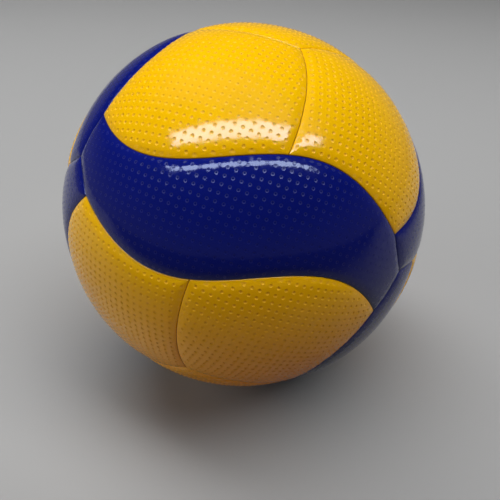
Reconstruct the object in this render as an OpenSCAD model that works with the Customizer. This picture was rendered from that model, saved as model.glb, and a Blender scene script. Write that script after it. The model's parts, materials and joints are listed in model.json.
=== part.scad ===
// Indoor volleyball, laminated, eighteen panels: six S-shaped blue ones and twelve curved yellow ones.
// Lengths are millimetres. The origin is the ball's centre and +Z is up.
//
// The cut has the turns of a tetrahedron and none of its mirrors. A blue panel runs along each of the
// six edges, and three yellow panels meet in the middle of each of the four faces. So three joints
// draw the whole ball, and everything else is a turned copy of them:
//   the corner joint, from a blue corner to a yellow tip,
//   the long joint, the S-curve from one yellow tip to the next along a blue panel,
//   the hub joint, from the middle of a face to the long joint.

/* [Ball] */
// Diameter over the crowns of the panels
ball_d = 210; // [190:1:230]

/* [Layers] */
// Thickness of the leather of the cover panels
cover_t = 1.2; // [0.8:0.1:1.6]
// Thickness of the foam backings
foam_t = 2.4; // [2:0.1:4]
// Thickness of the moulded rubber carcass
carcass_t = 0.4; // [0.3:0.1:0.8]
// Thickness of the nylon winding
winding_t = 0.3; // [0.2:0.05:0.6]
// Thickness of the butyl bladder
bladder_t = 0.5; // [0.4:0.1:1]
// Glue line between two layers
bond_gap = 0.05; // [0.03:0.01:0.1]

/* [Panel cut] */
// Length of the corner joint, along the surface
corner_joint_l = 24.1; // [21:0.1:26]
// Angle between the corner joint and the blue panel's long axis
corner_joint_turn = 43.7; // [40:0.1:47]
// How far the corner joint bows sideways
corner_joint_bow = 0.7; // [0:0.1:1]
// How far the long joint bows outwards as a whole
long_joint_bulge = 6.2; // [5:0.1:9]
// How far the long joint swings to either side of that
long_joint_swing = 13.3; // [11:0.1:15]
// How far it ripples about both: outwards in its middle, inwards near its ends
long_joint_ripple = 0.7; // [0:0.1:1.5]
// Share of the long joint at which the hub joint meets it
hub_joint_share = 0.6; // [0.56:0.01:0.64]
// Angle that the hub joint turns through on its way
hub_joint_twist = 13.1; // [5:0.1:20]

/* [Panel edges] */
// Gap between two neighbouring panels
panel_gap = 0.3; // [0.2:0.05:0.5]
// How far the rim of a panel lies below its crown
rim_drop = 1.2; // [0.8:0.1:1.6]
// Width over which the crown falls to the rim
shoulder_w = 5.5; // [4:0.1:5.5]
// Bevel on the edge of the leather
edge_bevel = 0.6; // [0.3:0.1:0.8]

/* [Attitude] */
// How far the front blue panel looks up
front_lift = 27.7; // [0:0.1:45]
// How far its long axis slopes down to the right
front_roll = 19.3; // [0:0.1:45]
// How far it looks to the right of the front
front_side = -1.7; // [-10:0.1:10]

/* [Valve] */
// Diameter of the rubber nose that shows in the panel
nose_d = 6.4; // [5:0.1:8]
// How far the nose stays below the leather
nose_recess = 0.5; // [0.3:0.1:0.8]
// Clearance round the nose, in every layer that it passes
nose_clearance = 0.2; // [0.1:0.05:0.4]
// Diameter of the flange that is bonded inside the bladder
flange_d = 26; // [20:0.5:32]
// Thickness of the flange
flange_t = 1; // [0.8:0.1:1.6]
// Diameter of the barrel below the flange
barrel_d = 9; // [8:0.1:11]
// Diameter of the barrel's inner end
barrel_end_d = 7; // [6:0.1:8]
// Length of the barrel below the flange
barrel_l = 11; // [9:0.5:14]
// Diameter of the self-sealing plug
plug_d = 4; // [3.6:0.1:4.4]
// Diameter of the needle channel
needle_d = 2.1; // [2:0.05:2.4]
// Depth of the needle channel below the nose
needle_depth = 9; // [6:0.5:11]
// Depth of the funnel that guides the needle
funnel_depth = 0.6; // [0.4:0.1:1]
// Thickness of rubber that closes the barrel's inner end
barrel_floor = 1.5; // [1:0.1:2]

/* [Hidden] */
BLUE = ["blue_front", "blue_back", "blue_right_1", "blue_right_2", "blue_left_1", "blue_left_2"];
YELLOW = [for (hub = ["top", "bottom", "right", "left"]) for (i = [1:3]) str("yellow_", hub, "_", i)];

// Every round surface is a true sphere or cylinder, and this is only how it is shown
$fn = 144;

// Straight steps that each joint is cut in
corner_joint_steps = 2;
tip_steps = 11;
far_tip_steps = 7;
hub_joint_steps = 7;

// Radius of the outside of each layer, and of the air inside
ball_r = ball_d / 2;
foam_r = ball_r - cover_t - bond_gap;
carcass_r = foam_r - foam_t - bond_gap;
winding_r = carcass_r - carcass_t - bond_gap;
bladder_r = winding_r - winding_t - bond_gap;
air_r = bladder_r - bladder_t;

// How far a cut runs past the surface that it cuts
overrun = 0.25;
// Radius of the cutters' flat-faced caps, as a share of the ball's: high enough to clear the crown
cap_share = 1.4;
// Radius at which the cutters start, well inside the carcass
cut_r = carcass_r - foam_t;

// The panel that holds the valve, turned away from the front, and its place in the list
valve_panel = "yellow_left_1";
valve_place = search([valve_panel], YELLOW)[0];

// Places and turns on the ball

// Angle of an arc of length l on the outside of the ball
function arc(l) = l / ball_r * 180 / PI;

function unit(v) = v / norm(v);

// Direction at a longitude and latitude, seen from the front: longitude to the right, latitude up
function toward(lon, lat) = [cos(lat) * sin(lon), -cos(lat) * cos(lon), sin(lat)];

function longitude(p) = atan2(p.x, -p.y);

function latitude(p) = asin(p.z);

// p turned by an angle about an axis
function turned(p, axis, angle) =
    p * cos(angle) + cross(axis, p) * sin(angle) + axis * (axis * p) * (1 - cos(angle));

// p after the half turn about the front-to-back axis, which maps a blue panel onto itself
function half_turned(p) = [-p.x, p.y, -p.z];

// The tangent at p that points to q
function heading(p, q) = unit(q - p * (p * q));

// The point an angle away from p, in the direction of q turned by an angle to the left
function walk(p, q, angle, turn) =
    p * cos(angle)
    + (heading(p, q) * cos(turn) + cross(p, heading(p, q)) * sin(turn)) * sin(angle);

// The corners where joints meet

corner_lon = acos(1 / sqrt(3));
front = toward(0, 0);
blue_corner = toward(corner_lon, 0);
far_blue_corner = toward(-corner_lon, 0);
hub = toward(0, corner_lon);
third = 120;
far_tip = walk(blue_corner, front, arc(corner_joint_l), -corner_joint_turn);
tip = turned(far_tip, hub, -third);

// The three joints, each from 0 to 1

// From the blue corner to the far tip
function corner_joint(t) =
    let (
        span = arc(corner_joint_l),
        p = (blue_corner * sin((1 - t) * span) + far_tip * sin(t * span)) / sin(span),
        side = unit(cross(blue_corner, far_tip)),
        bow = arc(corner_joint_bow) * sin(180 * t)
    )
    p * cos(bow) + side * sin(bow);

// From the tip to the far tip: a line between them, one bulge, one swing and one ripple
function long_joint(t) =
    toward(
        longitude(tip) + (longitude(far_tip) - longitude(tip)) * t,
        latitude(tip) + (latitude(far_tip) - latitude(tip)) * t
        + arc(long_joint_bulge) * sin(180 * t) - arc(long_joint_swing) * sin(360 * t)
        - arc(long_joint_ripple) * sin(540 * t)
    );

meeting = long_joint(hub_joint_share);
hub_joint_arc = acos(hub * meeting);

// From the hub to the meeting point, as a steady spiral
function hub_joint(t) = walk(hub, meeting, hub_joint_arc * t, hub_joint_twist * (1 - t));

// Outlines, counter-clockwise seen from outside

corner_joint_points = [for (i = [0:corner_joint_steps]) corner_joint(i / corner_joint_steps)];
tip_points = [for (i = [0:tip_steps]) long_joint(hub_joint_share * i / tip_steps)];
far_tip_points = [
    for (i = [0:far_tip_steps]) long_joint(hub_joint_share + (1 - hub_joint_share) * i / far_tip_steps)
];
hub_joint_points = [for (i = [0:hub_joint_steps]) hub_joint(i / hub_joint_steps)];

function reversed(list) = [for (i = [len(list) - 1:-1:0]) list[i]];

// A list without its last point, which starts the next list
function open(list) = [for (i = [0:len(list) - 2]) list[i]];

// The corner joint at the other end of the panel, which ends at the tip
far_corner_joint_points = [
    for (p = corner_joint_points) turned(half_turned(p), far_blue_corner, third)
];

blue_upper_side = concat(
    open(corner_joint_points),
    open(reversed(far_tip_points)),
    open(reversed(tip_points)),
    open(reversed(far_corner_joint_points))
);
blue_outline = concat(blue_upper_side, [for (p = blue_upper_side) half_turned(p)]);

yellow_left_side = concat(
    open([for (p = hub_joint_points) turned(p, hub, -third)]),
    open([for (p = far_tip_points) turned(p, hub, -third)])
);
yellow_outline = concat(
    yellow_left_side,
    open(tip_points),
    open(reversed(hub_joint_points))
);

function sum(list, i = 0) = i == len(list) ? [0, 0, 0] : list[i] + sum(list, i + 1);

// Middle of the yellow panel
yellow_middle = unit(sum(yellow_outline));

// The outline moved inwards along the surface by a distance, with mitred corners
function inset(outline, distance) =
    let (n = len(outline))
    [
        for (i = [0:n - 1])
            let (
                p = outline[i],
                in_a = cross(p, -heading(p, outline[(i + n - 1) % n])),
                in_b = cross(p, heading(p, outline[(i + 1) % n]))
            )
            unit(p + (in_a + in_b) / (1 + in_a * in_b) * distance / ball_r)
    ];

// Triangles across an outline of n points, in rungs between the side from point 0 to point m and the
// other side
function rungs(n, m, i = 1, j = 1) =
    i == m - 1 && j == n - m - 1
        ? [[i, m, n - j]]
        : j == n - m - 1 || (i < m - 1 && (i + 1) / m <= (j + 1) / (n - m))
            ? concat([[i, i + 1, n - j]], rungs(n, m, i + 1, j))
            : concat([[i, n - j - 1, n - j]], rungs(n, m, i, j + 1));

// Cutter through all layers. levels holds a radius and an inset for each ring, from the inside out,
// and a last ring, as far in as the one below it, carries the cap.
module cutter(outline, side_points, levels) {
    n = len(outline);
    top = n * len(levels);
    rings = concat(levels, [[ball_r * cap_share, levels[len(levels) - 1][1]]]);
    cap = concat([[0, 1, n - 1]], rungs(n, side_points));
    walls = [
        for (k = [0:len(levels) - 1])
            for (i = [0:n - 1])
                let (a = k * n + i, b = k * n + (i + 1) % n)
                each [[a, a + n, b + n], [a, b + n, b]]
    ];
    polyhedron(
        points = [for (ring = rings) each inset(outline, ring[1]) * ring[0]],
        faces = concat(cap, [for (f = cap) [for (i = [2:-1:0]) f[i] + top]], walls)
    );
}

// Inset at which a shoulder that climbs from its rim to the crown, and on, is an overrun above it
function past_shoulder(rim) = shoulder_w + (shoulder_w - rim) * overrun / rim_drop;

// The pillow under a skin: everything inside it down to the carcass, as deep as the skin is thick.
// skin is how far the surface lies below the cover's, at the crown and at the edge alike.
module pillow(outline, side_points, skin) {
    edge = panel_gap / 2 + skin;
    difference() {
        intersection() {
            sphere(r = ball_r - skin);
            cutter(outline, side_points, [
                [cut_r, edge],
                [ball_r - skin - rim_drop, edge],
                [ball_r - skin + overrun, past_shoulder(edge)]
            ]);
        }
        sphere(r = carcass_r + bond_gap);
    }
}

// Leather cup over a foam backing: crown, shoulder, bevelled edge, and a wall down to the carcass
module leather(outline, side_points) {
    edge = panel_gap / 2;
    difference() {
        intersection() {
            sphere(r = ball_r);
            cutter(outline, side_points, [
                [cut_r, edge],
                [ball_r - rim_drop - edge_bevel, edge],
                [ball_r - rim_drop, edge + edge_bevel],
                [ball_r + overrun, past_shoulder(edge + edge_bevel)]
            ]);
        }
        intersection() {
            sphere(r = ball_r - cover_t);
            cutter(outline, side_points, [
                [cut_r - foam_t, edge + cover_t],
                [ball_r - cover_t - rim_drop, edge + cover_t],
                [ball_r - cover_t + overrun, past_shoulder(edge + cover_t)]
            ]);
        }
        sphere(r = carcass_r + bond_gap);
    }
}

// Places of the panels

// The whole ball, turned as it lies in its seat
module ball() {
    rotate([-front_lift, 0, front_side]) rotate([0, front_roll, 0]) children();
}

// Half turns that carry the top hub to the top, bottom, right and left ones
hub_half_turns = [[0, front], [180, front], [180, unit([1, 0, 1])], [180, unit([1, 0, -1])]];

module at_hub(h, turn) {
    ball()
        rotate(a = hub_half_turns[h][0], v = hub_half_turns[h][1])
            rotate(a = third * turn, v = hub)
                children();
}

// Turns that carry the front blue panel to each of the six
blue_turns = [
    [0, front],
    [180, unit([1, 0, 1])],
    [third, blue_corner],
    [-third, blue_corner],
    [third, far_blue_corner],
    [-third, far_blue_corner]
];

module at_edge(i) {
    ball() rotate(a = blue_turns[i][0], v = blue_turns[i][1]) children();
}

// The valve's axis, outwards along +Z, at the middle of its yellow panel
module at_valve() {
    at_hub(floor(valve_place / 3), valve_place % 3)
        rotate([0, acos(yellow_middle.z), atan2(yellow_middle.y, yellow_middle.x)])
            children();
}

// Hole through every layer round the valve's nose
module nose_hole() {
    at_valve() cylinder(r = nose_d / 2 + nose_clearance, h = ball_r + overrun);
}

// The pieces

module blue_panel(i) {
    color("#16208c") at_edge(i) leather(blue_outline, len(blue_upper_side));
}

module blue_foam(i) {
    color("#d8d4c8") at_edge(i) pillow(blue_outline, len(blue_upper_side), cover_t + bond_gap);
}

module yellow_panel(h, turn) {
    color("#f2c200") difference() {
        at_hub(h, turn) leather(yellow_outline, len(yellow_left_side));
        if (YELLOW[3 * h + turn] == valve_panel) nose_hole();
    }
}

module yellow_foam(h, turn) {
    color("#d8d4c8") difference() {
        at_hub(h, turn) pillow(yellow_outline, len(yellow_left_side), cover_t + bond_gap);
        if (YELLOW[3 * h + turn] == valve_panel) nose_hole();
    }
}

// One closed layer under the panels, with the valve's hole
module layer(outer_r, inner_r) {
    difference() {
        sphere(r = outer_r);
        sphere(r = inner_r);
        nose_hole();
    }
}

module rubber_carcass() {
    color("#3a3a3c") layer(carcass_r, carcass_r - carcass_t);
}

module nylon_winding() {
    color("#e8e4d6") layer(winding_r, winding_r - winding_t);
}

module butyl_bladder() {
    color("#1c1c1e") layer(bladder_r, air_r);
}

nose_top = ball_r - nose_recess;
flange_r = air_r - bond_gap;
barrel_bottom = flange_r - flange_t - barrel_l;

// Nose through the layers, flange that follows the bladder, and tapered barrel, bored for the plug
module valve_body() {
    color("#26262a") at_valve() difference() {
        union() {
            translate([0, 0, barrel_bottom]) {
                cylinder(r1 = barrel_end_d / 2, r2 = barrel_d / 2, h = barrel_l);
                cylinder(r = nose_d / 2, h = nose_top - barrel_bottom);
            }
            intersection() {
                difference() {
                    sphere(r = flange_r);
                    sphere(r = flange_r - flange_t);
                }
                cylinder(r = flange_d / 2, h = ball_r);
            }
            translate([0, 0, barrel_bottom + barrel_l])
                cylinder(r = barrel_d / 2, h = flange_t / 2);
        }
        translate([0, 0, barrel_bottom + barrel_floor])
            cylinder(r = plug_d / 2 + bond_gap, h = nose_top - barrel_bottom);
    }
}

// Soft plug, glued in the body, with a funnel and a blind channel that its slit closes below
module valve_plug() {
    plug_bottom = barrel_bottom + barrel_floor + bond_gap;
    color("#4a4a50") at_valve() difference() {
        translate([0, 0, plug_bottom]) cylinder(r = plug_d / 2, h = nose_top - plug_bottom);
        translate([0, 0, nose_top - needle_depth]) cylinder(r = needle_d / 2, h = needle_depth + overrun);
        translate([0, 0, nose_top - funnel_depth])
            cylinder(r1 = needle_d / 2, r2 = needle_d / 2 + funnel_depth, h = funnel_depth + overrun);
    }
}

for (i = [0:len(BLUE) - 1]) {
    blue_panel(i);
    blue_foam(i);
}
for (h = [0:3]) {
    for (turn = [0:2]) {
        yellow_panel(h, turn);
        yellow_foam(h, turn);
    }
}
rubber_carcass();
nylon_winding();
butyl_bladder();
valve_body();
valve_plug();
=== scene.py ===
"""Looks of an indoor volleyball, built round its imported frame.

The cover is eighteen cups of embossed leather, each glued over a foam backing: six S-shaped blue
ones and twelve curved yellow ones. Their outlines follow one cut, which has the turns of a
tetrahedron and none of its mirrors, so one blue, one yellow and one pierced yellow panel are drawn
and every panel is a turned copy of one of them. Lengths are millimetres until a mesh or a node
takes them, and only the floor's and the lamps' are metres.
"""

import json
import logging
from dataclasses import dataclass, field
from enum import Enum
from functools import partial, reduce
from math import acos, atan2, ceil, cos, degrees, hypot, pi, radians, sin, sqrt

import bpy
import numpy as np
from bpy.types import Material, Mesh, Node, NodeSocket as Socket, NodeTree, Object
from mathutils import Matrix, Vector
from mathutils.geometry import delaunay_2d_cdt


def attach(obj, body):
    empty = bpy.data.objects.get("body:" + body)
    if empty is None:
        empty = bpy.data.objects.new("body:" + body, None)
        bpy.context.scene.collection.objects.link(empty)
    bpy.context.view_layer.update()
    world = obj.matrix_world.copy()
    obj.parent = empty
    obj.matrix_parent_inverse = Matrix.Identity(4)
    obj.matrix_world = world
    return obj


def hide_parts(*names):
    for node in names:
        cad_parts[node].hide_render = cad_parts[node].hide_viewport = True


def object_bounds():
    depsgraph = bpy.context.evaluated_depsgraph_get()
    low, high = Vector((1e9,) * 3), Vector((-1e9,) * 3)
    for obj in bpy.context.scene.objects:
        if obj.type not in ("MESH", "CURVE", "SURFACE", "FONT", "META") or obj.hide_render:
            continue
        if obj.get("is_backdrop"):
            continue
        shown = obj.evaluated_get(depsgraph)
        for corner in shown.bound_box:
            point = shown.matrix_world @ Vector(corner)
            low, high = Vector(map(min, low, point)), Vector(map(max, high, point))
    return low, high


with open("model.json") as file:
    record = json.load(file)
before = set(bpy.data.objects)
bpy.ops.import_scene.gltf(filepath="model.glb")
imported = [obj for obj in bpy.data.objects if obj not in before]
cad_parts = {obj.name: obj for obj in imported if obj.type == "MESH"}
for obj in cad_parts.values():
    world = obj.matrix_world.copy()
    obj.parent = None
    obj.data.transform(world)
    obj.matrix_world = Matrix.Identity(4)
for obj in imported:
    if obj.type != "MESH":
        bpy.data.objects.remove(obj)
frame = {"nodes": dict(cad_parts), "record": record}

Points = np.ndarray
Pair = tuple[float, float]
Triple = tuple[float, float, float]

MM = 0.001
HALF_TURN = 180.0
THIRD_TURN = 120.0
# Degrees from a blue panel's middle to its corners, and to where three yellow ones meet nearby
CORNER_ANGLE = degrees(acos(1 / sqrt(3)))
# What is divided by is at least this
TINY = 1e-12
# A point is taken to lie at least this far from every side of its panel
NEAREST = 1e-4
# Points closer together than this are one point
WELD = 1e-7
# Triangles of at most half this area are left out
SLIVER = 1e-9


# Places and turns on the ball


def unit(v: Points) -> Points:
    """Scales vectors to length one, along the last axis."""
    v = np.asarray(v, dtype=float)
    return v / np.linalg.norm(v, axis=-1, keepdims=True)


def toward(lon: Points, lat: Points) -> Points:
    """Gives directions seen from the front.

    Args:
        lon: Degrees to the right of the front.
        lat: Degrees above it.

    Returns:
        One unit vector for each pair.
    """
    lon, lat = np.radians(lon), np.radians(lat)
    return np.stack([np.cos(lat) * np.sin(lon), -np.cos(lat) * np.cos(lon), np.sin(lat)], axis=-1)


def turn(axis: Points, angle: float) -> Points:
    """Gives the matrix of a turn about an axis.

    Args:
        axis: Direction of the axis.
        angle: Degrees, by the right-hand rule.

    Returns:
        A 3 by 3 matrix.
    """
    return np.array(Matrix.Rotation(radians(angle), 3, Vector(axis)))


def heading(p: Points, q: Points) -> Points:
    """Gives the tangent at p that points to q."""
    return unit(q - p * np.sum(p * q, axis=-1, keepdims=True))


def walk(p: Points, q: Points, angle: float, left: float) -> Points:
    """Walks over the ball.

    Args:
        p: The start.
        q: The point it sets out for.
        angle: Degrees to walk.
        left: Degrees by which it sets out to the left of q.

    Returns:
        The point reached.
    """
    h = heading(p, q)
    way = h * cos(radians(left)) + np.cross(p, h) * sin(radians(left))
    return p * cos(radians(angle)) + way * sin(radians(angle))


# The middle of the front blue panel, its right and its left corner, and the point above it where
# three yellow panels meet
FRONT = toward(0, 0)
BLUE_CORNER = toward(CORNER_ANGLE, 0)
FAR_BLUE_CORNER = toward(-CORNER_ANGLE, 0)
HUB = toward(0, CORNER_ANGLE)


@dataclass(frozen=True)
class BallCut:
    """The three joints that draw the whole cover, and the outlines that they enclose."""

    ball_r: float
    corner_joint_l: float = 24.1
    corner_joint_turn: float = 43.7
    corner_joint_bow: float = 0.7
    long_joint_bulge: float = 6.2
    long_joint_swing: float = 13.3
    long_joint_ripple: float = 0.7
    hub_joint_share: float = 0.6
    hub_joint_twist: float = 13.1
    step: float = 1.0

    def arc(self, length: float) -> float:
        """Gives the angle, in degrees, of an arc on the outside of the ball."""
        return degrees(length / self.ball_r)

    @property
    def far_tip(self) -> Points:
        """The end of the corner joint."""
        return walk(BLUE_CORNER, FRONT, self.arc(self.corner_joint_l), -self.corner_joint_turn)

    @property
    def tip(self) -> Points:
        """The start of the long joint."""
        return turn(HUB, -THIRD_TURN) @ self.far_tip

    def shares(self, length: float) -> Points:
        """Gives even shares from 0 to 1 for a joint of about this length."""
        return np.linspace(0, 1, ceil(length / self.step) + 1)

    def corner_joint(self) -> Points:
        """Draws the corner joint.

        Returns:
            Its points, from the blue corner to the far tip.
        """
        t = self.shares(self.corner_joint_l)[:, None]
        span = radians(self.arc(self.corner_joint_l))
        p = (BLUE_CORNER * np.sin((1 - t) * span) + self.far_tip * np.sin(t * span)) / sin(span)
        side = unit(np.cross(BLUE_CORNER, self.far_tip))
        bow = radians(self.arc(self.corner_joint_bow)) * np.sin(pi * t)
        return p * np.cos(bow) + side * np.sin(bow)

    def long_joint(self, start: float, end: float) -> Points:
        """Gives the points of a stretch of the S-curve along the blue panel.

        Args:
            start: Share of the joint at which the stretch starts, counted from the tip.
            end: Share at which it ends.

        Returns:
            Its points: a line between the tips, with one bulge, one swing and one ripple.
        """
        lon = [degrees(atan2(p[0], -p[1])) for p in (self.tip, self.far_tip)]
        lat = [degrees(atan2(p[2], hypot(p[0], p[1]))) for p in (self.tip, self.far_tip)]
        length = radians(lon[1] - lon[0]) * (end - start) * self.ball_r
        t = start + (end - start) * self.shares(length)
        bulge = self.arc(self.long_joint_bulge) * np.sin(pi * t)
        swing = self.arc(self.long_joint_swing) * np.sin(2 * pi * t)
        ripple = self.arc(self.long_joint_ripple) * np.sin(3 * pi * t)
        straight = lat[0] + (lat[1] - lat[0]) * t
        return toward(lon[0] + (lon[1] - lon[0]) * t, straight + bulge - swing - ripple)

    def hub_joint(self) -> Points:
        """Draws the hub joint, a steady spiral.

        Returns:
            Its points, from the hub to the long joint.
        """
        meeting = self.long_joint(0, self.hub_joint_share)[-1]
        span = degrees(acos(HUB @ meeting))
        shares = self.shares(radians(span) * self.ball_r)
        twist = self.hub_joint_twist
        return np.array([walk(HUB, meeting, span * t, twist * (1 - t)) for t in shares])

    def blue_sides(self) -> list[Points]:
        """Draws the blue panel.

        Returns:
            Its six sides, counter-clockwise seen from outside.
        """
        corner = self.corner_joint()
        half = np.diag([-1.0, 1.0, -1.0])
        far_corner = corner @ half.T @ turn(FAR_BLUE_CORNER, THIRD_TURN).T
        upper = [corner, self.long_joint(0, 1)[::-1], far_corner[::-1]]
        return upper + [side @ half.T for side in upper]

    def yellow_sides(self) -> list[Points]:
        """Draws the yellow panel.

        Returns:
            Its four sides, counter-clockwise seen from outside.
        """
        back, share = turn(HUB, -THIRD_TURN).T, self.hub_joint_share
        near, far = self.long_joint(0, share), self.long_joint(share, 1)
        joint = self.hub_joint()
        return [joint @ back, far @ back, near, joint[::-1]]


class PanelKind(Enum):
    """The shapes that a cover panel comes in."""

    BLUE = "blue"
    YELLOW = "yellow"
    PIERCED = "pierced"


@dataclass(frozen=True)
class Embossing:
    """The square grid of pits that is pressed into the leather: shallow dishes with steep walls."""

    pitch: float = 3.8
    dish_r: float = 0.42
    dish_depth: float = 0.03
    mouth_r: float = 0.94
    wall_depth: float = 0.27
    blue_depth_share: float = 0.2
    ring_points: int = 12
    yellow_slant: float = 36.5

    def ring_radii(self) -> list[float]:
        """Gives the radii at which the mesh has a ring of points in each pit."""
        return [self.dish_r / 2, self.dish_r, self.mouth_r]


@dataclass(frozen=True)
class Pillow:
    """How the cover falls from the crowns of its panels to its joints."""

    panel_gap: float = 0.1
    depth: float = 0.8
    width: float = 18.0
    shoulder_depth: float = 0.75
    shoulder_width: float = 5.2
    edge_round: float = 0.36
    ring_shares: tuple[float, ...] = (0.08, 0.3, 0.62, 1.0)
    support_insets: tuple[float, ...] = (1.05, 1.7)

    def insets(self) -> list[float]:
        """Gives the distances from the seam at which the mesh follows the edge."""
        rings = [self.panel_gap / 2 + self.edge_round * share for share in self.ring_shares]
        return rings + list(self.support_insets)


@dataclass(frozen=True)
class Layers:
    """Thicknesses of what lies under the crown, from outside in."""

    cover_t: float = 1.2
    foam_t: float = 2.4
    bond_gap: float = 0.05

    @property
    def base_depth(self) -> float:
        """How far the foot of a panel lies below the crown."""
        return self.cover_t + self.foam_t + self.bond_gap


@dataclass
class Patch:
    """Points and triangles of a piece. A point is a row: its place, depth, swell and emboss."""

    points: list = field(default_factory=list)
    faces: list = field(default_factory=list)

    def add(self, places: Points, depth: float, swell: int = 1, emboss: int = 0) -> list[int]:
        """Adds points.

        Args:
            places: Their directions.
            depth: How far below the crown they lie.
            swell: 1 where the point follows the pillow, and 0 where it stays.
            emboss: 1 where it follows the pits, and 0 where it doesn't.

        Returns:
            Their numbers.
        """
        start = len(self.points)
        self.points += [(place, depth, swell, emboss) for place in places]
        return list(range(start, len(self.points)))

    def skirt(self, upper: list[int], lower: list[int]) -> None:
        """Closes the band between two rings that have as many points.

        Args:
            upper: The upper ring, with the band's outside to its right.
            lower: The lower ring.
        """
        for i, a in enumerate(upper):
            j = (i + 1) % len(upper)
            self.faces += [(lower[i], lower[j], upper[j]), (lower[i], upper[j], a)]


@dataclass(frozen=True)
class LengthwaysChart:
    """Unrolls a long panel on the front of the ball: along its axis, and across it."""

    ball_r: float

    def spread(self, places: Points) -> Points:
        """Gives the flat points of places on the ball."""
        lon = np.arctan2(places[:, 0], -places[:, 1])
        return np.stack([lon, np.arcsin(places[:, 2])], axis=1) * self.ball_r

    def wrap(self, flat: Points) -> Points:
        """Gives the places on the ball of flat points."""
        return toward(*np.degrees(flat / self.ball_r).T)


@dataclass(frozen=True)
class CentredChart:
    """Spreads a roundish panel about its middle, with its rows of pits straight and level."""

    ball_r: float
    middle: Points
    above: Points
    slant: float

    def axes(self) -> Points:
        """Finds the directions of the rows at the middle.

        Returns:
            Two tangents, along the rows and across them.
        """
        up = heading(self.middle, self.above)
        right = np.cross(up, self.middle)
        c, s = cos(radians(self.slant)), sin(radians(self.slant))
        return np.stack([right * c + up * s, up * c - right * s])

    def spread(self, places: Points) -> Points:
        """Spreads places flat.

        Args:
            places: Places on the ball.

        Returns:
            Their flat points.
        """
        flat = places @ self.axes().T
        reach = np.linalg.norm(flat, axis=1, keepdims=True)
        angle = np.arctan2(reach, places @ self.middle[:, None])
        return flat / np.maximum(reach, TINY) * angle * self.ball_r

    def wrap(self, flat: Points) -> Points:
        """Wraps flat points round the ball.

        Args:
            flat: The flat points.

        Returns:
            Their places on the ball.
        """
        angle = np.linalg.norm(flat, axis=1, keepdims=True) / self.ball_r
        side = flat / self.ball_r / np.maximum(angle, TINY) @ self.axes()
        return self.middle * np.cos(angle) + side * np.sin(angle)


def inside(loop: Points, flat: Points) -> Points:
    """Tells which flat points lie inside a closed loop.

    Args:
        loop: The loop's points, in order.
        flat: The points asked about.

    Returns:
        A truth value for each.
    """
    a, b = loop, np.roll(loop, -1, axis=0)
    x, y = flat[:, :1], flat[:, 1:]
    crosses = (a[:, 1] > y) != (b[:, 1] > y)
    rise = np.where(b[:, 1] == a[:, 1], 1, b[:, 1] - a[:, 1])
    edge_x = a[:, 0] + (y - a[:, 1]) * (b[:, 0] - a[:, 0]) / rise
    return np.sum(crosses & (x < edge_x), axis=1) % 2 == 1


def triangulate(flat: Points, loops: list[list[int]]) -> Points:
    """Fills the area between an outline and the holes in it.

    Args:
        flat: All points.
        loops: The outline, and then each hole, as numbers of points.

    Returns:
        Triangles, counter-clockwise, as numbers of the same points.
    """
    points = [Vector(p) for p in flat]
    _, _, faces, origin, *_ = delaunay_2d_cdt(points, [], loops, 1, WELD)
    faces = np.array([[origin[v][0] for v in face] for face in faces])
    a, b, c = (flat[faces[:, k]] for k in range(3))
    size = (b[:, 0] - a[:, 0]) * (c[:, 1] - a[:, 1]) - (b[:, 1] - a[:, 1]) * (c[:, 0] - a[:, 0])
    middle = (a + b + c) / 3
    keep = size > SLIVER
    for number, loop in enumerate(loops):
        keep &= inside(flat[loop], middle) == (number == 0)
    return faces[keep]


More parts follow.
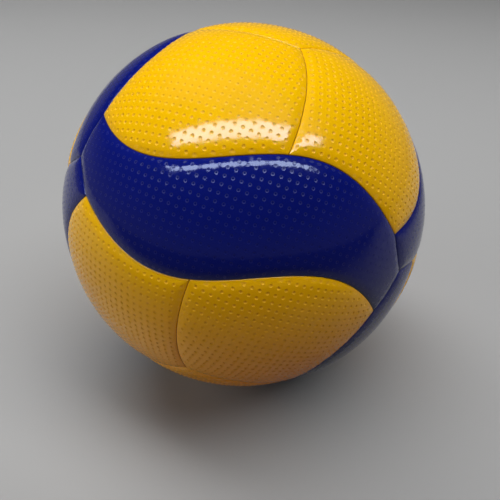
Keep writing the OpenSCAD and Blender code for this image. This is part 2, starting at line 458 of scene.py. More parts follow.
@dataclass(frozen=True)
class PanelShape:
    """One shape of cover panel: a cup of leather, and the foam backing that fills it."""

    kind: PanelKind
    cut: BallCut
    pillow: Pillow
    embossing: Embossing
    layers: Layers
    hole_middle: Points
    hole_r: float
    hole_points: int = 48
    lining_pitch: float = 7.0
    clear_share: float = 1 / 3
    kept_share: float = 0.99
    blend_power: float = 3.0
    block_size: int = 1000

    def sides(self) -> list[Points]:
        """Gives the sides of the outline, counter-clockwise seen from outside."""
        return self.cut.blue_sides() if self.kind is PanelKind.BLUE else self.cut.yellow_sides()

    def outline(self) -> Points:
        """Gives the closed outline."""
        return np.concatenate([side[:-1] for side in self.sides()])

    def chart(self) -> LengthwaysChart | CentredChart:
        """Chooses the chart that the leather is flat in.

        Returns:
            A lengthways one for the long blue panel, and else a centred one.
        """
        if self.kind is PanelKind.BLUE:
            return LengthwaysChart(self.cut.ball_r)
        middle = unit(self.outline().sum(axis=0))
        return CentredChart(self.cut.ball_r, middle, HUB, self.embossing.yellow_slant)

    def side_distances(self, places: Points) -> Points:
        """Measures how far places lie from the outline.

        Args:
            places: The places.

        Returns:
            The distance of each to each side.
        """
        firsts = np.cumsum([0] + [len(side) - 1 for side in self.sides()[:-1]])
        loop = self.outline() * self.cut.ball_r
        along = np.roll(loop, -1, axis=0) - loop
        found = []
        blocks = len(places) // self.block_size + 1
        for block in np.array_split(places * self.cut.ball_r, blocks):
            away = block[:, None] - loop
            t = np.clip(np.sum(away * along, axis=2) / np.sum(along**2, axis=1), 0, 1)
            reach = np.linalg.norm(away - along * t[..., None], axis=2)
            found.append(np.minimum.reduceat(reach, firsts, axis=1))
        return np.concatenate(found)

    def seam_distance(self, places: Points) -> Points:
        """Gives the distance of each place to the nearest joint."""
        return self.side_distances(places).min(axis=1)

    def swell_distance(self, sides: Points) -> Points:
        """Blends the distances to the sides into one that has no crease between two of them."""
        powers = np.maximum(sides, NEAREST) ** -self.blend_power
        return np.sum(powers, axis=1) ** (-1 / self.blend_power)

    def hole_distance(self, places: Points) -> Points:
        """Measures how far places lie outside the valve's hole.

        Args:
            places: The places.

        Returns:
            The distance of each, or the ball's radius where there is no hole.
        """
        if self.kind is not PanelKind.PIERCED:
            return np.full(len(places), self.cut.ball_r)
        return np.linalg.norm(places - self.hole_middle, axis=1) * self.cut.ball_r - self.hole_r

    def ring(self, inset: float) -> Points:
        """Gives a closed ring inside the outline.

        Args:
            inset: Its distance from the joints.

        Returns:
            Its points in order, with a mitred corner between sides.
        """
        found = []
        sides = self.sides()
        angle = inset / self.cut.ball_r
        for before, side in zip([sides[-1], *sides[:-1]], sides):
            corner = side[0]
            in_a = np.cross(corner, -heading(corner, before[-2]))
            in_b = np.cross(corner, heading(corner, side[1]))
            found.append(unit(corner + (in_a + in_b) / (1 + in_a @ in_b) * angle)[None])
            inward = np.cross(side[1:-1], heading(side[1:-1], side[2:] - side[:-2] + side[1:-1]))
            moved = side[1:-1] * cos(angle) + inward * sin(angle)
            found.append(moved[self.seam_distance(moved) > inset * self.kept_share])
        return np.concatenate(found)

    def hole_ring(self, outset: float) -> Points:
        """Gives a ring round the valve's hole.

        Args:
            outset: Its distance from the rim.

        Returns:
            Its points, counter-clockwise seen from outside.
        """
        angle = np.linspace(0, 2 * pi, self.hole_points, endpoint=False)
        right = heading(self.hole_middle, HUB)
        up = np.cross(self.hole_middle, right)
        reach = (self.hole_r + outset) / self.cut.ball_r
        side = np.outer(np.cos(angle), right) + np.outer(np.sin(angle), up)
        return self.hole_middle * cos(reach) + side * sin(reach)

    def grid(self, pitch: float) -> Points:
        """Covers the panel with a square grid.

        Args:
            pitch: The distance between neighbours.

        Returns:
            Its flat points.
        """
        flat = self.chart().spread(self.outline()) / pitch
        low, high = np.floor(flat.min(axis=0)) - 1, np.ceil(flat.max(axis=0)) + 2
        lines = [np.arange(*ends) for ends in zip(low, high)]
        return np.stack(np.meshgrid(*lines), axis=-1).reshape(-1, 2) * pitch

    def fit(self, places: Points, clear: float) -> Points:
        """Drops the places that lie outside the panel or near its edges.

        Args:
            places: The places.
            clear: The least distance from an edge.

        Returns:
            The places that are left.
        """
        spread = self.chart().spread
        places = places[inside(spread(self.outline()), spread(places))]
        places = places[self.hole_distance(places) > clear]
        return places[self.seam_distance(places) > clear]

    def lining(self, inset: float) -> Points:
        """Gives the inner points of a smooth face that ends at this distance from the joints."""
        places = self.chart().wrap(self.grid(self.lining_pitch))
        return self.fit(places, self.lining_pitch / 2 + inset)

    def pits(self, clear: float) -> Points:
        """Lays out the mesh's points in and between the pits.

        Args:
            clear: The least distance from an edge.

        Returns:
            Their places.
        """
        shape = self.embossing
        middles = self.grid(shape.pitch)
        found = [middles]
        for number, reach in enumerate(shape.ring_radii()):
            angle = 2 * pi / shape.ring_points * (np.arange(shape.ring_points) + number % 2 / 2)
            ring = np.stack([np.cos(angle), np.sin(angle)], axis=1) * reach
            found.append((middles[:, None] + ring).reshape(-1, 2))
        half = shape.pitch / 2
        found += [middles + between for between in ((half, half), (half, 0.0), (0.0, half))]
        return self.fit(self.chart().wrap(np.concatenate(found)), clear)

    def close(self, patch: Patch, loops: list[list[int]], extra: list[int], outward: bool) -> None:
        """Fills a face of the patch.

        Args:
            patch: Where the triangles go.
            loops: The face's outline and holes, as numbers of points.
            extra: Numbers of the points inside.
            outward: Whether the face looks away from the ball's centre.
        """
        numbers = np.array([i for loop in loops for i in loop] + extra)
        ends = np.cumsum([len(loop) for loop in loops])
        local = [part.tolist() for part in np.split(np.arange(ends[-1]), ends[:-1])]
        flat = self.chart().spread(np.array([patch.points[i][0] for i in numbers]))
        faces = numbers[triangulate(flat, local)]
        patch.faces.extend((faces if outward else faces[:, ::-1]).tolist())

    def leather(self) -> Patch:
        """Builds the cup of leather.

        Returns:
            Embossed skin, wall, foot, and the face that the foam is glued to.
        """
        patch = Patch()
        half, thick, base = self.pillow.panel_gap / 2, self.layers.cover_t, self.layers.base_depth
        insets = self.pillow.insets()
        pierced = self.kind is PanelKind.PIERCED
        rim = patch.add(self.ring(half), 0, emboss=1)
        support = [self.ring(inset) for inset in insets]
        if pierced:
            support += [self.hole_ring(inset - half) for inset in insets]
        clear = insets[-1] + self.cut.step * self.clear_share
        skin = patch.add(np.concatenate([*support, self.pits(clear)]), 0, emboss=1)
        foot = patch.add(self.ring(half), base, swell=0)
        inner_foot = patch.add(self.ring(half + thick), base, swell=0)
        inner_rim = patch.add(self.ring(half + thick), thick)
        inner = patch.add(self.lining(thick), thick)
        outer_hole = [patch.add(self.hole_ring(0), 0, emboss=1)] if pierced else []
        inner_hole = [patch.add(self.hole_ring(0), thick)] if pierced else []
        self.close(patch, [rim, *outer_hole], skin, True)
        self.close(patch, [foot, inner_foot], [], False)
        self.close(patch, [inner_rim, *inner_hole], inner, False)
        patch.skirt(rim, foot)
        patch.skirt(inner_foot, inner_rim)
        for outer, lower in zip(outer_hole, inner_hole):
            patch.skirt(lower, outer)
        return patch

    def foam(self) -> Patch:
        """Builds the foam backing.

        Returns:
            A slab, a bond line smaller than the cup all round.
        """
        patch = Patch()
        depth = self.layers.cover_t + self.layers.bond_gap
        rings = [self.ring(self.pillow.panel_gap / 2 + depth)]
        if self.kind is PanelKind.PIERCED:
            rings.append(self.hole_ring(0))
        middle = self.lining(depth)
        levels = []
        for level, swell in ((depth, 1), (self.layers.base_depth, 0)):
            levels.append([patch.add(ring, level, swell) for ring in rings])
            self.close(patch, levels[-1], patch.add(middle, level, swell), swell == 1)
        (rim, *holes), (foot, *lower_holes) = levels
        patch.skirt(rim, foot)
        for upper, lower in zip(holes, lower_holes):
            patch.skirt(lower, upper)
        return patch

    def mesh(self, name: str, patch: Patch) -> Mesh:
        """Makes a patch a mesh with what the relief reads.

        Args:
            name: The mesh's name.
            patch: Its points and triangles.

        Returns:
            The mesh, in metres, as the panel lies on the front of an unturned ball.
        """
        places, depth, swell, skin = map(np.array, zip(*patch.points))
        sides = self.side_distances(places)
        seam = sides.min(axis=1)
        flat = self.chart().spread(places)
        mesh = bpy.data.meshes.new(name)
        reach = self.cut.ball_r - depth[:, None]
        mesh.from_pydata((places * reach * MM).tolist(), [], patch.faces)
        half = self.pillow.panel_gap / 2
        facts = {
            "swell_distance": self.swell_distance(sides) * MM,
            "edge_distance": np.minimum(seam, np.abs(self.hole_distance(places)) + half) * MM,
            "swell": swell,
            "skin": skin,
            "along": flat[:, 0] * MM,
            "across": flat[:, 1] * MM,
        }
        for key, values in facts.items():
            data = mesh.attributes.new(key, "FLOAT", "POINT").data
            data.foreach_set("value", values.astype(np.float32))
        return mesh

    def meshes(self) -> tuple[Mesh, Mesh]:
        """Gives the meshes of the leather and of the foam."""
        leather = self.mesh(f"{self.kind.value} leather", self.leather())
        return leather, self.mesh(f"{self.kind.value} foam", self.foam())


# Node trees


class Graph:
    """A node tree under construction."""

    def __init__(self, tree: NodeTree) -> None:
        """Starts in an empty tree."""
        self.tree = tree
        self.tree.nodes.clear()

    def add(self, kind: str, inputs: dict | None = None, **settings: object) -> Node:
        """Adds a node.

        Args:
            kind: The node's type name.
            inputs: Socket name or number to a value or an output socket.
            **settings: Its own properties.

        Returns:
            The node.
        """
        node = self.tree.nodes.new(kind)
        for key, value in settings.items():
            setattr(node, key, value)
        for key, value in (inputs or {}).items():
            if isinstance(value, Socket):
                self.tree.links.new(value, node.inputs[key])
            else:
                node.inputs[key].default_value = value
        return node

    def first(self, kind: str, inputs: dict | None = None, **settings: object) -> Socket:
        """Adds a node and gives its first output."""
        return self.add(kind, inputs, **settings).outputs[0]

    def math(self, operation: str, *values: object) -> Socket:
        """Adds a Math node and gives its output."""
        return self.first("ShaderNodeMath", dict(enumerate(values)), operation=operation)

    def plus(self, *values: object) -> Socket:
        """Adds up values, from the first to the last."""
        return reduce(partial(self.math, "ADD"), values)

    def minus(self, a: object, b: object) -> Socket:
        """Takes b from a."""
        return self.math("SUBTRACT", a, b)

    def times(self, a: object, b: object) -> Socket:
        """Multiplies two values."""
        return self.math("MULTIPLY", a, b)

    def ramp(
        self, value: object, low: object, high: object, to: Pair = (0.0, 1.0), ease: str = "LINEAR"
    ) -> Socket:
        """Maps a value between two limits and clamps it.

        Args:
            value: What is mapped.
            low: The lower limit.
            high: The upper limit.
            to: What the limits become.
            ease: How the values between them run.

        Returns:
            The mapped value.
        """
        limits = {"From Min": low, "From Max": high, "To Min": to[0], "To Max": to[1]}
        return self.first("ShaderNodeMapRange", {"Value": value} | limits, interpolation_type=ease)

    def mix(self, share: Socket, a: object, b: object) -> Socket:
        """Mixes two colours and gives the result."""
        inputs = {"Factor": share, "A": a, "B": b}
        return self.add("ShaderNodeMix", inputs, data_type="RGBA").outputs["Result"]

    def noise(self, place: Socket, size: float, detail: float) -> Socket:
        """Gives soft noise with spots of this size in millimetres."""
        inputs = {"Vector": place, "Scale": 1 / (size * MM), "Detail": detail}
        return self.first("ShaderNodeTexNoise", inputs)

    def seen(self) -> Socket:
        """Tells the rays that show a surface from those that light one.

        Returns:
            1 for the rays that show it, and 0 for the others.
        """
        rays = self.add("ShaderNodeLightPath").outputs
        shown = self.math("MAXIMUM", rays["Is Glossy Ray"], rays["Is Transmission Ray"])
        return self.math("MAXIMUM", shown, rays["Is Camera Ray"])

    def gloss(self, inputs: dict, height: Socket, depth: float) -> Socket:
        """Gives a glossy shader, with a bump of this depth in millimetres."""
        bump = self.first("ShaderNodeBump", {"Height": height, "Distance": depth * MM})
        return self.first("ShaderNodeBsdfPrincipled", inputs | {"Normal": bump})


class ReliefTree(Graph):
    """Geometry Nodes that press the pillow, the edge and the pits into a panel, and turn it."""

    # A point this close to a ring of the pits, in metres, is on it
    RING_SLACK = 1e-6

    def __init__(self, lengths: dict[str, float]) -> None:
        """Builds the tree.

        Args:
            lengths: Each gets an input of its name.
        """
        super().__init__(bpy.data.node_groups.new("Panel relief", "GeometryNodeTree"))
        face = self.tree.interface
        inputs = {"Geometry": "Geometry"} | dict.fromkeys(lengths, "Float")
        for name, kind in (inputs | {"Turn": "Vector", "Finish": "Material"}).items():
            face.new_socket(name, in_out="INPUT", socket_type=f"NodeSocket{kind}")
        face.new_socket("Geometry", in_out="OUTPUT", socket_type="NodeSocketGeometry")
        self.identifiers = {s.name: s.identifier for s in face.items_tree if s.in_out == "INPUT"}
        self.given = self.add("NodeGroupInput").outputs
        self.build()

    def stored(self, name: str) -> Socket:
        """Reads one of the mesh's own attributes."""
        return self.first("GeometryNodeInputNamedAttribute", {"Name": name}, data_type="FLOAT")

    def fall(self, depth: object, width: object) -> Socket:
        """Gives how far a parabola, level at its width from the joint, has fallen at each point."""
        share = self.ramp(self.stored("swell_distance"), 0.0, width, (1.0, 0.0))
        return self.times(self.times(share, share), depth)

    def reach(self) -> Socket:
        """Measures how far each point lies from the middle of the nearest pit.

        Returns:
            The distance.
        """
        pitch = self.given["Pit Pitch"]
        squares = []
        for name in ("along", "across"):
            cells = self.math("DIVIDE", self.stored(name), pitch)
            away = self.times(self.minus(cells, self.math("ROUND", cells)), pitch)
            squares.append(self.times(away, away))
        return self.math("SQRT", self.plus(*squares))

    def pit(self, reach: Socket) -> tuple[Socket, Socket]:
        """Lays out the pits.

        Args:
            reach: The distance to the middle of the nearest pit.

        Returns:
            How far each point lies in a pit, from 0 to 1, and how deep.
        """
        given = self.given
        wall = self.ramp(reach, given["Dish Radius"], given["Pit Mouth"], (1.0, 0.0))
        bowl = self.ramp(reach, 0.0, given["Dish Radius"])
        bowl = self.minus(1.0, self.times(bowl, bowl))
        edge = self.stored("edge_distance")
        inner = self.times(given["Pit Margin"], 0.5)
        open_here = self.ramp(edge, inner, given["Pit Margin"])
        open_here = self.times(open_here, self.stored("skin"))
        wall_depth = self.times(wall, given["Wall Depth"])
        depth = self.plus(wall_depth, self.times(bowl, given["Dish Depth"]))
        return self.times(wall, open_here), self.times(depth, open_here)

    def build(self) -> None:
        """Lays out the nodes."""
        given = self.given
        skin = self.stored("skin")
        pillow = self.fall(given["Pillow Depth"], given["Pillow Width"])
        shoulder = self.fall(given["Shoulder Depth"], given["Shoulder Width"])
        fall = self.times(self.plus(pillow, shoulder), self.stored("swell"))
        half = self.times(given["Panel Gap"], 0.5)
        end = self.plus(half, given["Edge Round"])
        rim = self.ramp(self.stored("edge_distance"), half, end, (1.0, 0.0))
        level = self.math("SQRT", self.minus(1.0, self.times(rim, rim)))
        bend = self.times(self.times(self.minus(1.0, level), given["Edge Round"]), skin)
        reach = self.reach()
        pit, sunk = self.pit(reach)
        drop = self.times(self.plus(fall, bend, sunk), -1.0)
        position = self.first("GeometryNodeInputPosition")
        outward = self.first("ShaderNodeVectorMath", {0: position}, operation="NORMALIZE")
        inputs = {0: outward, "Scale": drop}
        offset = self.first("ShaderNodeVectorMath", inputs, operation="SCALE")
        shape = given["Geometry"]
        groove = self.minus(1.0, self.times(skin, level))
        on_points = {"data_type": "FLOAT", "domain": "POINT"}
        # The finish paints shade into the pits by the pit attribute, and darkens the joints by the
        # groove one
        for name, value in (("pit", pit), ("groove", groove)):
            inputs = {"Geometry": shape, "Name": name, "Value": value}
            shape = self.first("GeometryNodeStoreNamedAttribute", inputs, **on_points)
        ends = self.first("GeometryNodeFieldOnDomain", {0: reach}, **on_points)
        rings = (given["Dish Radius"], given["Pit Mouth"])
        on_ring = [self.math("COMPARE", ends, ring, self.RING_SLACK) for ring in rings]
        creases = {"Selection": self.math("MAXIMUM", *on_ring), "Shade Smooth": False}
        for kind, inputs, settings in (
            ("GeometryNodeSetPosition", {"Offset": offset}, {}),
            ("GeometryNodeTransform", {"Rotation": given["Turn"]}, {}),
            ("GeometryNodeSetShadeSmooth", {}, {}),
            ("GeometryNodeSetShadeSmooth", creases, {"domain": "EDGE"}),
            ("GeometryNodeRealizeInstances", {}, {}),
            ("GeometryNodeSetMaterial", {"Material": given["Finish"]}, {}),
        ):
            shape = self.first(kind, {"Geometry": shape} | inputs, **settings)
        self.add("NodeGroupOutput", {"Geometry": shape})

    def apply(self, piece: Object, values: dict) -> None:
        """Presses the relief into a piece and leaves it a plain mesh.

        Args:
            piece: The piece, with a canonical mesh.
            values: Input name to value.
        """
        modifier = piece.modifiers.new("Relief", "NODES")
        modifier.node_group = self.tree
        for name, value in values.items():
            modifier[self.identifiers[name]] = value
        depsgraph = bpy.context.evaluated_depsgraph_get()
        mesh = bpy.data.meshes.new_from_object(
            piece.evaluated_get(depsgraph), preserve_all_data_layers=True, depsgraph=depsgraph
        )
        piece.modifiers.remove(modifier)
        piece.data = mesh
        mesh.name = piece.name


# Finishes


def new_material(name: str) -> tuple[Material, Graph, Socket]:
    """Makes an empty material.

    Args:
        name: Its name.

    Returns:
        The material, its node tree, and that tree's Object coordinates.
    """
    material = bpy.data.materials.new(name)
    material.use_nodes = True
    graph = Graph(material.node_tree)
    return material, graph, graph.add("ShaderNodeTexCoord").outputs["Object"]


@dataclass(frozen=True)
class Leather:
    """Embossed synthetic leather with a soft gloss and a fine grain.

    Sizes and depths are millimetres. A range is where a texture or an attribute starts and ends
    to show, a tone is a share of the deep colour, and a blur is added to the roughness. The deep
    colour is the leather as it looks in shade: the pits take a share of it as painted shade, and
    the joints and a random mottle darken towards it too.
    """

    name: str
    colour: Triple
    deep: Triple
    roughness: float
    wall_blur: float
    specular: float = 0.3
    grain_size: float = 0.5
    grain_depth: float = 0.003
    wrinkle_size: float = 6.0
    wrinkle_depth: float = 0.035
    mottle_size: float = 30.0
    noise_detail: float = 3.0
    # Share of the deep colour painted into the pits as shade
    pit_shade_tone: float = 0.15
    groove_range: Pair = (0.15, 0.8)
    groove_blur: float = 0.6
    mottle_range: Pair = (0.35, 0.65)
    mottle_tone: float = 0.06
    wrinkle_range: Pair = (0.3, 0.7)
    wrinkle_blur: float = 0.02
    wall_range: Pair = (0.0, 0.25)
    dish_range: Pair = (0.9, 1.0)
    dish_share: float = 0.8

    def make(self) -> Material:
        """Builds the material.

        Returns:
            A material that reads Object coordinates and the relief's attributes.
        """
        material, graph, place = new_material(self.name)
        mottle = graph.noise(place, self.mottle_size, self.noise_detail)
        wrinkle = graph.noise(place, self.wrinkle_size, self.noise_detail)
        inputs = {"Vector": place, "Scale": 1 / (self.grain_size * MM)}
        grain = graph.first("ShaderNodeTexVoronoi", inputs, feature="SMOOTH_F1")
        pit, groove = (
            graph.add("ShaderNodeAttribute", attribute_name=name).outputs["Fac"]
            for name in ("pit", "groove")
        )
        groove_tone = graph.ramp(groove, *self.groove_range)
        # Painted shade: the pits are darkened towards the deep colour, and the joints take it by
        # the groove
        dark = graph.math("MAXIMUM", graph.times(pit, self.pit_shade_tone), groove_tone)
        dark = graph.plus(dark, graph.ramp(mottle, *self.mottle_range, (0.0, self.mottle_tone)))
        rough = graph.plus(
            graph.ramp(wrinkle, *self.wrinkle_range, (-self.wrinkle_blur, self.wrinkle_blur)),
            self.roughness,
            graph.times(groove, self.groove_blur),
            graph.ramp(pit, *self.wall_range, (0.0, self.wall_blur)),
        )
        dish = graph.ramp(pit, *self.dish_range, (0.0, self.wall_blur * self.dish_share))
        height = graph.plus(grain, graph.times(wrinkle, self.wrinkle_depth / self.grain_depth))
        inputs = {
            "Base Color": graph.mix(dark, (*self.colour, 1), (*self.deep, 1)),
            "Roughness": graph.minus(rough, dish),
            "Specular IOR Level": self.specular,
        }
        shader = graph.gloss(inputs, height, self.grain_depth)
        graph.add("ShaderNodeOutputMaterial", {"Surface": shader})
        return material


@dataclass(frozen=True)
class Moulded:
    """A plain rubber, foam or yarn layer with a grain of its own, in millimetres."""

    name: str
    colour: Triple
    roughness: float
    grain_size: float
    grain_depth: float
    streak: float = 1.0
    noise_detail: float = 4.0
    grain_range: Pair = (0.3, 0.7)
    dark_tone: float = 0.35
    dark_share: float = 0.6
    grain_blur: float = 0.1

    def make(self) -> Material:
        """Builds the material.

        Returns:
            A material that reads Object coordinates.
        """
        material, graph, place = new_material(self.name)
        drawn = graph.first("ShaderNodeMapping", {"Vector": place, "Scale": (1, 1, self.streak)})
        grain = graph.noise(drawn, self.grain_size, self.noise_detail)
        dark = graph.ramp(grain, *self.grain_range, (0.0, self.dark_tone))
        deep = (c * self.dark_share for c in self.colour)
        rough = graph.ramp(grain, 0.0, 1.0, (self.roughness, self.roughness + self.grain_blur))
        inputs = {"Base Color": graph.mix(dark, (*self.colour, 1), (*deep, 1)), "Roughness": rough}
        shader = graph.gloss(inputs, grain, self.grain_depth)
        graph.add("ShaderNodeOutputMaterial", {"Surface": shader})
        return material


# Each deep colour is the leather as it looks in shade, painted into its pits as shade
BLUE_LEATHER = Leather(
    "Blue leather", colour=(0.003, 0.008, 0.17), deep=(0.001, 0.002, 0.03),
    roughness=0.09, wall_blur=0.3,
)
YELLOW_LEATHER = Leather(
    "Yellow leather", colour=(0.95, 0.525, 0.0), deep=(0.5, 0.17, 0.0),
    roughness=0.1, wall_blur=0.87, grain_depth=0.006,
)
# Colour, roughness, and the size and depth of the grain
FOAM = Moulded("Foam backing", (0.7, 0.68, 0.6), 0.85, 0.8, 0.05)
CORE = {
    "rubber_carcass": Moulded("Carcass rubber", (0.03, 0.03, 0.032), 0.7, 1.2, 0.03),
    "nylon_winding": Moulded("Nylon winding", (0.7, 0.67, 0.58), 0.6, 0.4, 0.05, streak=8.0),
    "butyl_bladder": Moulded("Butyl rubber", (0.012, 0.012, 0.014), 0.45, 2.0, 0.02),
    "valve_body": Moulded("Valve rubber", (0.02, 0.02, 0.022), 0.5, 0.5, 0.01),
    "valve_plug": Moulded("Plug rubber", (0.05, 0.05, 0.055), 0.6, 0.3, 0.01),
}


# The ball


def add_object(name: str, data: Mesh | bpy.types.Camera | bpy.types.Light) -> Object:
    """Puts a new object in the scene.

    Args:
        name: Its name.
        data: What it is made of.

    Returns:
        The object.
    """
    made = bpy.data.objects.new(name, data)
    bpy.context.scene.collection.objects.link(made)
    return made


@dataclass(frozen=True)
class Attitude:
    """How the ball is turned, in degrees."""

    lift: float = 27.7
    roll: float = 19.3
    side: float = -1.7

    def matrix(self) -> Points:
        """Gives the matrix that turns the unturned ball to its place."""
        return turn((0, 0, 1), self.side) @ turn((1, 0, 0), -self.lift) @ turn((0, 1, 0), self.roll)


@dataclass
class Cover:
    """The eighteen panels and their foam backings."""

    ball_r: float
    pillow: Pillow = Pillow()
    embossing: Embossing = Embossing()
    layers: Layers = Layers()
    attitude: Attitude = Attitude()
    nose_hole_r: float = 3.4
    valve_panel: str = "yellow_left_1"

    def places(self) -> dict[str, Points]:
        """Places the panels.

        Returns:
            Each panel's turn from the front of an unturned ball.
        """
        ball = self.attitude.matrix()
        still = np.identity(3)
        found = {"blue_front": still, "blue_back": turn((1, 0, 1), HALF_TURN)}
        for side, corner in (("right", BLUE_CORNER), ("left", FAR_BLUE_CORNER)):
            found[f"blue_{side}_1"] = turn(corner, THIRD_TURN)
            found[f"blue_{side}_2"] = turn(corner, -THIRD_TURN)
        hubs = {
            "top": still,
            "bottom": turn(FRONT, HALF_TURN),
            "right": turn((1, 0, 1), HALF_TURN),
            "left": turn((1, 0, -1), HALF_TURN),
        }
        for hub, half in hubs.items():
            for number in range(3):
                found[f"yellow_{hub}_{number + 1}"] = half @ turn(HUB, THIRD_TURN * number)
        return {name: ball @ matrix for name, matrix in found.items()}

    def kind(self, name: str) -> PanelKind:
        """Gives the shape of the panel with this name."""
        plain = PanelKind.BLUE if name.startswith("blue") else PanelKind.YELLOW
        return PanelKind.PIERCED if name == self.valve_panel else plain

    def relief(self, kind: PanelKind) -> dict[str, float]:
        """Collects the relief's sizes.

        Args:
            kind: The panel's shape.

        Returns:
            Each input's name, to its length in metres.
        """
        pillow, pits = self.pillow, self.embossing
        share = pits.blue_depth_share if kind is PanelKind.BLUE else 1.0
        lengths = {
            "Pillow Depth": pillow.depth,
            "Pillow Width": pillow.width,
            "Shoulder Depth": pillow.shoulder_depth,
            "Shoulder Width": pillow.shoulder_width,
            "Panel Gap": pillow.panel_gap,
            "Edge Round": pillow.edge_round,
            "Pit Pitch": pits.pitch,
            "Dish Radius": pits.dish_r,
            "Dish Depth": pits.dish_depth * share,
            "Pit Mouth": pits.mouth_r,
            "Wall Depth": pits.wall_depth * share,
            "Pit Margin": pillow.insets()[-1],
        }
        return {name: length * MM for name, length in lengths.items()}

    def build(self, valve_axis: Points) -> None:
        """Builds and dresses every panel and its foam.

        Args:
            valve_axis: Direction of the valve from the ball's centre.
        """
        yellow = YELLOW_LEATHER.make()
        finishes = dict.fromkeys(PanelKind, yellow) | {PanelKind.BLUE: BLUE_LEATHER.make()}
        foam = FOAM.make()
        places = self.places()
        cut = BallCut(self.ball_r)
        hole = places[self.valve_panel].T @ valve_axis
        shapes = [
            PanelShape(kind, cut, self.pillow, self.embossing, self.layers, hole, self.nose_hole_r)
            for kind in PanelKind
        ]
        meshes = {shape.kind: shape.meshes() for shape in shapes}
        tree = ReliefTree(self.relief(PanelKind.YELLOW))
        for name, matrix in places.items():
            kind = self.kind(name)
            slot = "blue_leather" if kind is PanelKind.BLUE else "yellow_leather"
            given = self.relief(kind) | {"Turn": tuple(Matrix(matrix.tolist()).to_euler())}
            for node, mesh, finish, said in (
                (name, meshes[kind][0], finishes[kind], slot),
                (f"foam_{name}", meshes[kind][1], foam, "foam"),
            ):
                piece = add_object(f"{node}_piece", mesh)
                tree.apply(piece, given | {"Finish": finish})
                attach(piece, "root")
                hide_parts(node)
                logging.info("%s: %d triangles", piece.name, len(piece.data.polygons))


def dress_core() -> None:
    """Gives each layer under the cover, and the valve, a finish on its own CAD shape."""
    for node, finish in CORE.items():
        materials = frame["nodes"][node].data.materials
        materials.clear()
        materials.append(finish.make())
        logging.info("%s: dressed", node)


# The studio


@dataclass(frozen=True)
class Camera:
    """The photograph's view: the ball's distance, and its place in a square picture."""

    picture_px: float = 500.0
    focal_px: float = 534.5
    ball_x_px: float = 244.3
    ball_y_px: float = 209.0
    distance: float = 327.2
    elevation: float = 30.0
    sensor: float = 36.0

    def place(self) -> None:
        """Creates the camera and makes it the scene's own."""
        across = self.ball_x_px - self.picture_px / 2
        down = self.ball_y_px - self.picture_px / 2
        lift = radians(self.elevation)
        yaw = atan2(across, self.focal_px) / cos(lift)
        pitch = lift - atan2(down, self.focal_px)
        data = bpy.data.cameras.new("Camera")
        data.sensor_width = self.sensor
        data.lens = self.focal_px / self.picture_px * self.sensor
        data.clip_start = MM
        camera = add_object("Camera", data)
        camera.location = Vector((0, -cos(lift), sin(lift))) * self.distance * MM
        camera.rotation_euler = (pi / 2 - pitch, 0, yaw)
        bpy.context.scene.camera = camera


@dataclass(frozen=True)
class Lamp:
    """A flat lamp that looks at the ball: metres and watts.

    The gloss mirrors only the mirrored ones, and only the others light what is matt.
    """

    name: str
    place: Triple
    size: Pair
    power: float
    colour: Triple = (1.0, 1.0, 1.0)
    mirrored: bool = False

    def hang(self) -> None:
        """Hangs the lamp in its place."""
        data = bpy.data.lights.new(self.name, "AREA")
        data.shape = "RECTANGLE"
        data.size, data.size_y = self.size
        data.energy = self.power
        data.color = self.colour
        lamp = add_object(self.name, data)
        lamp.location = self.place
        lamp.rotation_euler = Vector(self.place).to_track_quat("Z", "Y").to_euler()
        lamp.visible_glossy = self.mirrored
        lamp.visible_diffuse = not self.mirrored


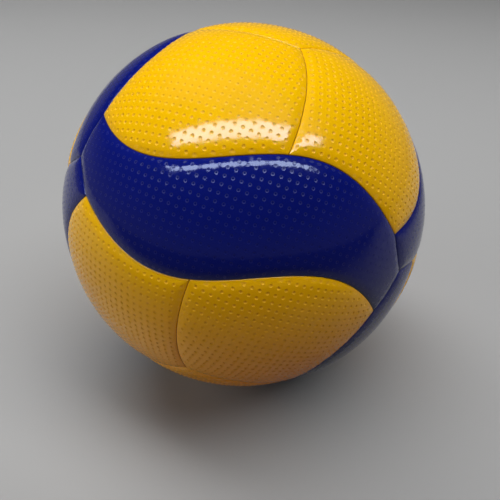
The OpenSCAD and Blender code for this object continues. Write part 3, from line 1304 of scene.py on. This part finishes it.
@dataclass(frozen=True)
class Studio:
    """A pale floor, a soft key lamp overhead, a weak one at the left, and a long mirrored strip."""

    ball_r: float
    floor_size: float = 12.0
    pale: float = 0.36
    dim: float = 0.06
    fade: Pair = (-0.4, -0.08)
    reach: Pair = (1.6, 4.0)
    bounce: Triple = (0.19, 0.09, 0.03)
    ambient: float = 0.03
    horizon: float = 0.17
    horizon_height: float = 0.4
    lamps: tuple[Lamp, ...] = (
        Lamp("Key lamp", place=(0.1, 0.15, 2.0), size=(4.0, 1.0), power=71.0),
        Lamp(
            "Strip lamp", place=(0.0, -0.82, 2.4), size=(4.08, 0.62), power=116.0,
            colour=(0.8, 0.95, 1.3), mirrored=True,
        ),
        Lamp("Side lamp", place=(-1.55, -0.45, 0.55), size=(1.5, 1.5), power=10.5),
    )

    def floor(self) -> None:
        """Lays the floor that the ball rests on, dimmer towards the viewer and clear far away."""
        half, low = self.floor_size / 2, -self.ball_r * MM
        corners = [(x * half, y * half, low) for x, y in ((-1, -1), (1, -1), (1, 1), (-1, 1))]
        mesh = bpy.data.meshes.new("floor")
        mesh.from_pydata(corners, [], [(0, 1, 2, 3)])
        material, graph, place = new_material("Floor paper")
        level = graph.first("ShaderNodeVectorMath", {0: place, 1: (1, 1, 0)}, operation="MULTIPLY")
        away = graph.add("ShaderNodeVectorMath", {0: level}, operation="LENGTH").outputs["Value"]
        behind = graph.add("ShaderNodeSeparateXYZ", {"Vector": place}).outputs["Y"]
        shown = graph.ramp(behind, *self.fade, (self.dim, self.pale), "SMOOTHSTEP")
        tone = graph.mix(graph.seen(), (*self.bounce, 1), shown)
        paper = graph.first("ShaderNodeBsdfDiffuse", {"Color": tone})
        clear = graph.first("ShaderNodeBsdfTransparent")
        gone = graph.ramp(away, *self.reach, ease="SMOOTHSTEP")
        mixed = graph.first("ShaderNodeMixShader", {0: gone, 1: paper, 2: clear})
        graph.add("ShaderNodeOutputMaterial", {"Surface": mixed})
        mesh.materials.append(material)
        floor = add_object("floor", mesh)
        floor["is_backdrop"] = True

    def world(self) -> None:
        """Sets the plain light from all sides, and the tone that is seen beyond the floor."""
        world = bpy.data.worlds.new("Studio")
        bpy.context.scene.world = world
        world.use_nodes = True
        graph = Graph(world.node_tree)
        way = graph.add("ShaderNodeTexCoord").outputs["Generated"]
        height = graph.add("ShaderNodeSeparateXYZ", {"Vector": way}).outputs["Z"]
        extra = graph.ramp(height, 0.0, self.horizon_height, (self.horizon - self.ambient, 0.0))
        tone = graph.math("MULTIPLY_ADD", extra, graph.seen(), self.ambient)
        light = graph.first("ShaderNodeBackground", {"Color": (1, 1, 1, 1), "Strength": tone})
        graph.add("ShaderNodeOutputWorld", {"Surface": light})

    def build(self) -> None:
        """Sets up the stage, the lights and the tones."""
        self.floor()
        for lamp in self.lamps:
            lamp.hang()
        self.world()
        bpy.context.scene.view_settings.view_transform = "Standard"


def main() -> None:
    """Builds the ball round the frame, and the studio round the ball."""
    logging.basicConfig(level=logging.INFO, format="%(message)s")
    cad_low, cad_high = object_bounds()
    ball_r = min(*cad_high, *(-c for c in cad_low)) / MM
    Camera().place()
    mounts = {mount["name"]: mount for mount in frame["record"]["mounts"]}
    Cover(ball_r).build(unit(mounts["needle_bore"]["axis"]))
    dress_core()
    Studio(ball_r).build()


if __name__ == "__main__":
    main()
